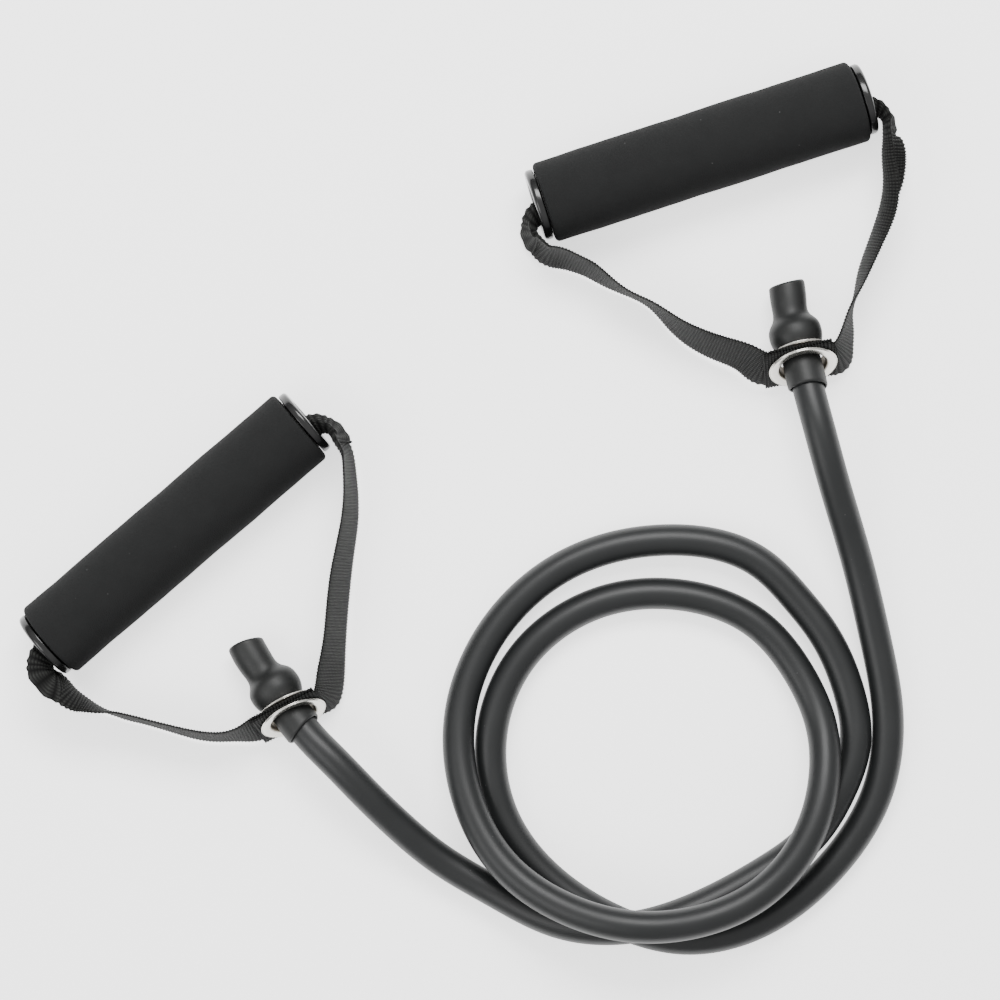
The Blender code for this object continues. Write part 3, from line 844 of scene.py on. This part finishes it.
def make_foam(side):
    outer, inner, half = FOAM_DIAMETER / 2, CORE_DIAMETER / 2 + PLAY, FOAM_LENGTH / 2
    corner = outer - FOAM_EDGE
    profile = [(-half, inner), (-half, (inner + corner) / 2)]
    profile += arc((-half + FOAM_EDGE, corner), FOAM_EDGE, 180, 90)
    reach = half - FOAM_ENDS
    profile += [(x, outer) for x in np.linspace(-reach, reach, FOAM_RINGS)]
    profile += arc((half - FOAM_EDGE, corner), FOAM_EDGE, 90, 0)
    profile += [(half, (inner + corner) / 2), (half, inner)]
    profile = np.array(profile)
    swell = FOAM_UNEVENNESS * waves(profile[:, 0], ord(side), 0.05)
    profile[:, 1] += np.where(profile[:, 1] > corner, swell, 0)
    foam = turned_piece(
        f"foam_{side}", profile, grip_line(side), MATERIALS["foam"], FOAM_SIDES
    )
    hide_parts(f"foam_grip_{side}")
    return foam


def make_core(side):
    half = FOAM_LENGTH / 2 + CAP_START - PLAY
    outer, inner = CORE_DIAMETER / 2, CORE_BORE / 2
    corner = outer - CORE_EDGE
    profile = [(-half, inner), (-half, corner), (-half + CORE_EDGE, outer)]
    profile += [(half - CORE_EDGE, outer), (half, corner), (half, inner)]
    surface = MATERIALS["core_plastic"]
    core = turned_piece(f"core_{side}", profile, grip_line(side), surface)
    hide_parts(f"core_tube_{side}")
    return core


def make_cap(side, end, direction):
    """A flange over the end of the foam, with a spigot inside the core tube."""
    back = FOAM_LENGTH / 2 + CAP_START
    face = back + CAP_THICKNESS
    rim, bore, spigot = CAP_DIAMETER / 2, CAP_BORE / 2, CORE_BORE / 2 - PLAY
    profile = [(back - SPIGOT_LENGTH, bore), (back - SPIGOT_LENGTH, spigot), (back, spigot)]
    profile += arc((back + CAP_BACK_EDGE, rim - CAP_BACK_EDGE), CAP_BACK_EDGE, 180, 90, 4)
    profile += arc((face - CAP_EDGE, rim - CAP_EDGE), CAP_EDGE, 90, 0)
    profile += arc((face - CAP_EDGE, bore + CAP_EDGE), CAP_EDGE, 0, -90)
    line = grip_line(side, direction)
    surface = MATERIALS["cap_plastic"]
    cap = turned_piece(f"cap_{side}_{end}", profile, line, surface)
    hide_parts(f"end_cap_{side}_{end}")
    return cap


def grommet_profile():
    """The section of a flanged barrel, funnelled at its front and rolled over the washer at its back."""
    inner, rim, funnel = GROMMET_BORE / 2, FLANGE_DIAMETER / 2, FLANGE_FUNNEL / 2
    outer = inner + GROMMET_WALL
    top = STACK_HALF + FLANGE_THICKNESS
    back = -STACK_HALF - WASHER_THICKNESS - PLAY
    profile = [(STACK_HALF, outer)]
    profile += [(STACK_HALF + x, rim - inset) for x, inset in RIM_BACK]
    profile += [(top - x, rim - inset) for x, inset in RIM_FRONT]
    for part in np.linspace(CROWN_START, 1, 8):
        height = FLANGE_CROWN * math.sin(math.pi * part)
        profile.append((top + height, rim - (rim - funnel) * part))
    for part in np.linspace(0, 1, 11)[1:]:
        flare = (funnel - inner) * (1 - part) ** FUNNEL_FLARE
        profile.append((top - FUNNEL_DEPTH * part**2, inner + flare))
    profile.append((back + BARREL_OFFSET, inner))
    profile += arc((back - ROLL_OFFSET, inner + ROLL_RADIUS), ROLL_RADIUS, 270, 90, 10)
    profile.append((back, outer))
    return np.array(profile)


def make_grommet(side):
    """The plated grommet, tarnished inside its barrel."""
    profile = grommet_profile()
    depth = STACK_HALF + FLANGE_THICKNESS - profile[:, 0]
    inside = profile[:, 1] < FLANGE_FUNNEL / 2 - TARNISH_INSET
    tarnish = np.clip(depth / TARNISH_DEPTH, 0, 1) * inside
    grommet = turned_piece(
        f"grommet_{side}_plated",
        profile,
        straight(*grommet_place(side)),
        MATERIALS["nickel"],
        values={"tarnish": tarnish},
    )
    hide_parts(f"grommet_{side}")
    return grommet


def make_washer(side):
    inner = GROMMET_BORE / 2 + GROMMET_WALL + PLAY
    rim, back = FLANGE_DIAMETER / 2, -STACK_HALF - WASHER_THICKNESS
    corner = rim - WASHER_EDGE
    profile = [(-STACK_HALF, inner), (back, inner), (back, corner)]
    profile += arc((back + WASHER_EDGE, corner), WASHER_EDGE, 180, 90, 4)
    profile += [(-STACK_HALF, rim)]
    washer = turned_piece(
        f"washer_{side}",
        profile,
        straight(*grommet_place(side)),
        MATERIALS["nickel"],
        values={"tarnish": np.full(len(profile), WASHER_TARNISH)},
    )
    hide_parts(f"grommet_washer_{side}")
    return washer


def make_sleeve(side):
    """The rubber sleeve over the tube, through the grommet and over the ball to the cut end."""
    handle = HANDLES[side]
    angle = ring_angles(ROUND_SIDES)
    front = handle["sleeve_reach"] + cut_shape(angle, handle["front_cut"])
    neck = -handle["neck_reach"] + cut_shape(angle, handle["neck_cut"])
    inner, outer = outer_profile(PLAY), outer_profile(PLAY + SLEEVE_WALL)
    share = np.linspace(0, 1, SLEEVE_RINGS)[:, None]
    distance = front + (neck - front) * share
    lip = np.minimum(share, 1 - share) * LIPS_IN_SLEEVE
    lip = 1 - np.sqrt(np.clip(1 - (1 - np.clip(lip, 0, 1)) ** 2, 0, 1))
    rings = []
    for profile, sign in ((outer, -1), (inner, 1)):
        radius = np.interp(-distance, -profile[:, 0], profile[:, 1])
        rounding = lip * SLEEVE_WALL * LIP_ROUNDING
        rings.append(turned(distance, radius + sign * rounding, tube_axis(side)))
    points = np.vstack([rings[0], rings[1][::-1]])
    faces = quads_between(len(points), ROUND_SIDES, wrap=True).reshape(-1, 4).tolist()
    surface = MATERIALS["sleeve_rubber"]
    sleeve = piece(f"rubber_sleeve_{side}", points, faces, surface)
    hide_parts(f"sleeve_{side}")
    return sleeve


def cut_shape(angle, waves_of_cut):
    """How far a cut end stands out at each angle round it, from (size, count, phase in degrees)."""
    found = np.zeros_like(angle)
    for size, count, phase in waves_of_cut:
        found += size * np.cos(count * (angle - math.radians(phase)))
    return found


def make_tube_end(side):
    """The last of the tube, stretched over the ball and open at its cut end."""
    end = HANDLES[side]["neck_reach"] - TUBE_END_INSET
    start = TUBE_SPLIT - PLAY
    rim, bore = TUBE_DIAMETER / 2 - TIP_WALL, TUBE_END_BORE / 2
    outside = outer_profile(0)
    kept = outside[(outside[:, 0] < start) & (outside[:, 0] > -end)]
    profile = [(start, SMALLEST_RADIUS), (start, TUBE_DIAMETER / 2), *kept]
    profile += [(-end - x, rim - inset) for x, inset in TIP_EDGE]
    profile += [(-end - TIP_EDGE[-1][0], bore + TIP_BORE_EDGE), (-end, bore)]
    profile += [(BALL_PLACE + BALL_HOLLOW[0], bore)]
    profile += arc((BALL_PLACE, 0), BALL_DIAMETER / 2 + PLAY, 148, 32, 16)
    profile += [(BALL_PLACE + BALL_HOLLOW[1], SMALLEST_RADIUS)]
    surface = MATERIALS["sleeve_rubber"]
    tube_end = turned_piece(f"tube_tip_{side}", profile, tube_axis(side), surface)
    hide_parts(f"tube_end_{side}")
    return tube_end


def make_ball(side):
    line = tube_axis(side)
    centre, along = line(np.array(BALL_PLACE))
    profile = arc((0, 0), BALL_DIAMETER / 2, 178, 2, 40) + [(0, SMALLEST_RADIUS / 2)]
    surface = MATERIALS["ball_plastic"]
    ball = turned_piece(f"ball_{side}", profile, straight(centre, along), surface)
    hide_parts(f"ball_plug_{side}")
    return ball


# Webbing


def bore_station(x, away, lean):
    """Where the webbing lies x along the bore and so far from its axis, curled and turned by lean."""
    turn = math.radians(lean)
    y, z = -away * math.cos(turn), GRIP_HEIGHT - away * math.sin(turn)
    return (x, y, z, lean, 1 / BORE_CURL_RADIUS)


def mouth(direction, lean, outside):
    """The webbing's turn out of the bore at +X or -X, flattening towards its first place outside."""
    start = FOAM_LENGTH / 2 + CAP_START + CAP_THICKNESS - MOUTH_INSET
    stations = []
    for angle, part in MOUTH_TURN:
        turn = math.radians(angle)
        x = start + MOUTH_RADIUS * math.sin(turn)
        away = BORE_CURL_RADIUS + MOUTH_RADIUS * (1 - math.cos(turn))
        *place, _, _ = station = bore_station(direction * x, away, lean)
        changed = [own + part * (other - own) for own, other in zip(station[3:], outside[3:])]
        stations.append((*place, *changed))
    return stations


def webbing_stations(side):
    """The whole loop: from the front layer at the grommet, counter-clockwise, to the back layer."""
    place = np.linalg.inv(handle_place(side))
    centre, normal = grommet_place(side)
    centre, normal = moved(centre, place), place[:3, :3] @ normal
    along = unit(np.cross(UP, normal))
    lift = math.degrees(math.asin(normal[2]))

    def at_grommet(distance, offset):
        return (*(centre + distance * along + offset * normal), lift, 0)

    right, left = MOUTH_LEAN[side]["right"], MOUTH_LEAN[side]["left"]
    stations = [at_grommet(distance, LAYER_OFFSET) for distance in FRONT_LAYER]
    stations += RIGHT_ARM[side]
    stations += mouth(1, right, RIGHT_ARM[side][-1])[::-1]
    for part in BORE_STATIONS:
        lean = left + (right - left) * (part + 1) / 2
        stations.append(bore_station(part * FOAM_LENGTH / 2, BORE_CURL_RADIUS, lean))
    stations += mouth(-1, left, LEFT_ARM[side][0])
    stations += LEFT_ARM[side]
    stations += [at_grommet(distance, -LAYER_OFFSET) for distance in BACK_LAYER]
    return stations


def webbing_middle(side):
    """The webbing's middle line with its lean and curl, in rows a fraction of a rib apart."""
    fine = smooth_curve(webbing_stations(side), SPLINE_STEPS)
    return resampled(fine, RIB_PITCH / ROWS_PER_RIB)


def webbing_points(side, rows, travelled):
    """The rows of points on the webbing's two faces and selvedges, and the relief at each."""
    lean, curl = np.radians(rows[:, 3:4]), np.maximum(rows[:, 4:5], LEAST_CURL)
    along = unit(np.gradient(rows[:, :3], axis=0))
    inward = unit(np.cross(UP, along))
    width = np.cos(lean) * UP + np.sin(lean) * inward
    width = unit(width - (width * along).sum(-1, keepdims=True) * along)
    outward = np.cross(along, width)
    rib = 0.5 + 0.5 * np.cos(2 * math.pi * travelled[:, None] / RIB_PITCH)
    uneven = SELVEDGE_UNEVENNESS * waves(travelled, ord(side) + 7, 0.03)[:, None]
    reach = WEBBING_WIDTH / 2 - SELVEDGE_INSET + SELVEDGE_WAVE * rib + uneven
    share = np.linspace(-1, 1, WEBBING_COLUMNS)
    thinning = 1 - SELVEDGE_THINNING * np.abs(share) ** 14
    half = (WEBBING_THICKNESS / 2 - RIB_HEIGHT / 2) * thinning
    half = half + RIB_HEIGHT * (rib - 0.25) * thinning

    def at(across, offset):
        turn = curl * across
        sine, cosine = np.sin(turn)[..., None], np.cos(turn)[..., None]
        middle = rows[:, None, :3] + sine / curl[..., None] * width[:, None]
        middle = middle + (1 - cosine) / curl[..., None] * outward[:, None]
        return middle + offset[..., None] * (cosine * outward[:, None] - sine * width[:, None])

    across = reach * share
    edge = reach + SELVEDGE_ROUNDING
    none = np.zeros_like(edge)
    rings = [at(across, half), at(edge, none), at(across, -half)[:, ::-1], at(-edge, none)]
    return np.concatenate(rings, axis=1), np.repeat(rib, WEBBING_SIDES, axis=1)


def make_strap(side):
    rows, travelled = webbing_middle(side)
    points, relief = webbing_points(side, rows, travelled)
    points = moved(points, handle_place(side))
    cut = barrel_cut(side, points)
    kept = faces_kept(cut)
    more = hole_walls(cut) + end_faces(len(points))
    strap = piece(
        f"webbing_{side}",
        points,
        quads_between(len(points), WEBBING_SIDES)[kept].tolist() + more,
        MATERIALS["webbing"],
        uv=webbing_map(travelled, kept, more),
        values={"relief": relief},
    )
    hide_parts(f"strap_{side}")
    return strap


def webbing_map(travelled, kept, more):
    """The UV corners of the kept faces of the webbing's grid, and then of the faces added to it."""
    half = WEBBING_WIDTH / 2
    across = np.linspace(-half, half, WEBBING_COLUMNS)
    edge = half + SELVEDGE_INSET
    around = np.concatenate([across, [edge], across[::-1], [-edge], across[:1]])
    u, v = np.meshgrid(travelled, around[:-1], indexing="ij")
    places = np.stack([u, v], axis=-1).reshape(-1, 2)
    corners = [ring_map(travelled, around)[kept].reshape(-1, 2)]
    corners += [places[list(face)] for face in more]
    return np.vstack(corners)


def barrel_cut(side, points):
    """The webbing's cells, row by column, that the grommet's barrel goes through."""
    front, back = both_faces(points)
    middle = (front + back) / 2
    cells = (middle[:-1, :-1] + middle[1:, :-1] + middle[:-1, 1:] + middle[1:, 1:]) / 4
    centre, normal = grommet_place(side)
    offset = cells - centre
    height = offset @ normal
    away = np.linalg.norm(offset - height[..., None] * normal, axis=-1)
    hole = GROMMET_BORE / 2 + GROMMET_WALL + 2 * PLAY
    return (away < hole) & (np.abs(height) < HOLE_DEPTH)


def both_faces(rings):
    """The front and the back columns of the webbing's rings, in the same order across it."""
    return rings[:, :WEBBING_COLUMNS], rings[:, 2 * WEBBING_COLUMNS : WEBBING_COLUMNS : -1]


def faces_kept(cut):
    """Which faces of the webbing's grid stay round the cut cells."""
    columns = WEBBING_COLUMNS
    kept = np.ones((len(cut), WEBBING_SIDES), bool)
    kept[:, : columns - 1] = ~cut
    kept[:, columns + 1 : 2 * columns] = ~cut[:, ::-1]
    return kept


def hole_walls(cut):
    """The walls between the webbing's front and back round the cut cells."""
    index = np.arange((len(cut) + 1) * WEBBING_SIDES).reshape(-1, WEBBING_SIDES)
    front, back = both_faces(index)
    padded = np.pad(cut, 1)
    walls = []
    for row, column in zip(*np.nonzero(cut)):
        for (down, right), *ends in CELL_SIDES:
            if padded[row + 1 + down, column + 1 + right]:
                continue
            first, second = ((row + y, column + x) for y, x in ends)
            corners = (front[first], front[second], back[second], back[first])
            walls.append(tuple(int(corner) for corner in corners))
    return walls


def end_faces(count):
    """The faces over the webbing's two cut ends."""
    columns = WEBBING_COLUMNS
    found = []
    for start, turn in ((0, 1), ((count - 1) * WEBBING_SIDES, -1)):
        for k in range(columns - 1):
            other = 2 * columns - k
            corners = (k, k + 1, other - 1, other)
            found.append(tuple(start + corner for corner in corners[::turn]))
        middle = (columns - 1, columns, columns + 1)
        found.append(tuple(start + corner for corner in middle[::turn]))
        last = (2 * columns + 1, 0, 2 * columns)
        found.append(tuple(start + corner for corner in last[::turn]))
    return found


# Cord


def make_cords():
    """The tube in two pieces, one for each sleeve, which meet where the coil's turns hide it."""
    fine = smooth_curve(TUBE_ROUTE, SPLINE_STEPS)
    travelled = distances_along(fine)
    seam = SEAM_POINT * SPLINE_STEPS
    for side, span in (("a", slice(0, seam + 1)), ("b", slice(seam, None))):
        path, offset = resampled(fine[span], TUBE_RING_STEP)
        cord = make_tube(side, path, offset + travelled[span.start])
        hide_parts("latex_tube")
        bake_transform(cord)
        if side == "b":
            path = path[::-1]


def make_tube(side, path, travelled):
    """One half of the tube, with a flat face at each end."""
    points, around = tube_rings(path)
    faces = quads_between(len(points), TUBE_SIDES).reshape(-1, 4).tolist()
    size = len(points) * TUBE_SIDES
    faces += [tuple(range(TUBE_SIDES)), tuple(range(size - TUBE_SIDES, size))[::-1]]
    grid = ring_map(travelled, around).reshape(-1, 2)
    ends = [np.column_stack([np.full(TUBE_SIDES, d), around[:-1]]) for d in travelled[[0, -1]]]
    uv = np.vstack([grid, ends[0], ends[1][::-1]])
    tube = piece(f"tube_{side}", points, faces, MATERIALS["latex"], uv=uv)
    tube.data.set_sharp_from_angle(angle=math.radians(SHARP_ANGLE))
    return tube


def tube_rings(path):
    """The tube's rings of points along its path, without twist, and the distance round each."""
    along = unit(np.gradient(path, axis=0))
    across = unit(np.cross(along, UP))
    upward = np.cross(across, along)
    angle = -math.pi / 2 + 2 * math.pi * np.arange(TUBE_SIDES) / TUBE_SIDES
    spokes = np.cos(angle)[:, None] * across[:, None] + np.sin(angle)[:, None] * upward[:, None]
    around = np.linspace(0, math.pi * TUBE_DIAMETER, TUBE_SIDES + 1)
    return path[:, None] + TUBE_DIAMETER / 2 * spokes, around


def make_handle(side):
    for made in (make_foam(side), make_core(side)):
        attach(made, f"grip_{side}")
    for end, direction in (("left", -1), ("right", 1)):
        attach(make_cap(side, end, direction), f"grip_{side}")
    for made in (make_strap(side), make_grommet(side), make_washer(side)):
        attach(made, f"loop_{side}")
    for made in (make_sleeve(side), make_tube_end(side), make_ball(side)):
        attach(made, f"end_{side}")


make_camera()
for side in HANDLES:
    make_handle(side)
make_cords()
make_studio()
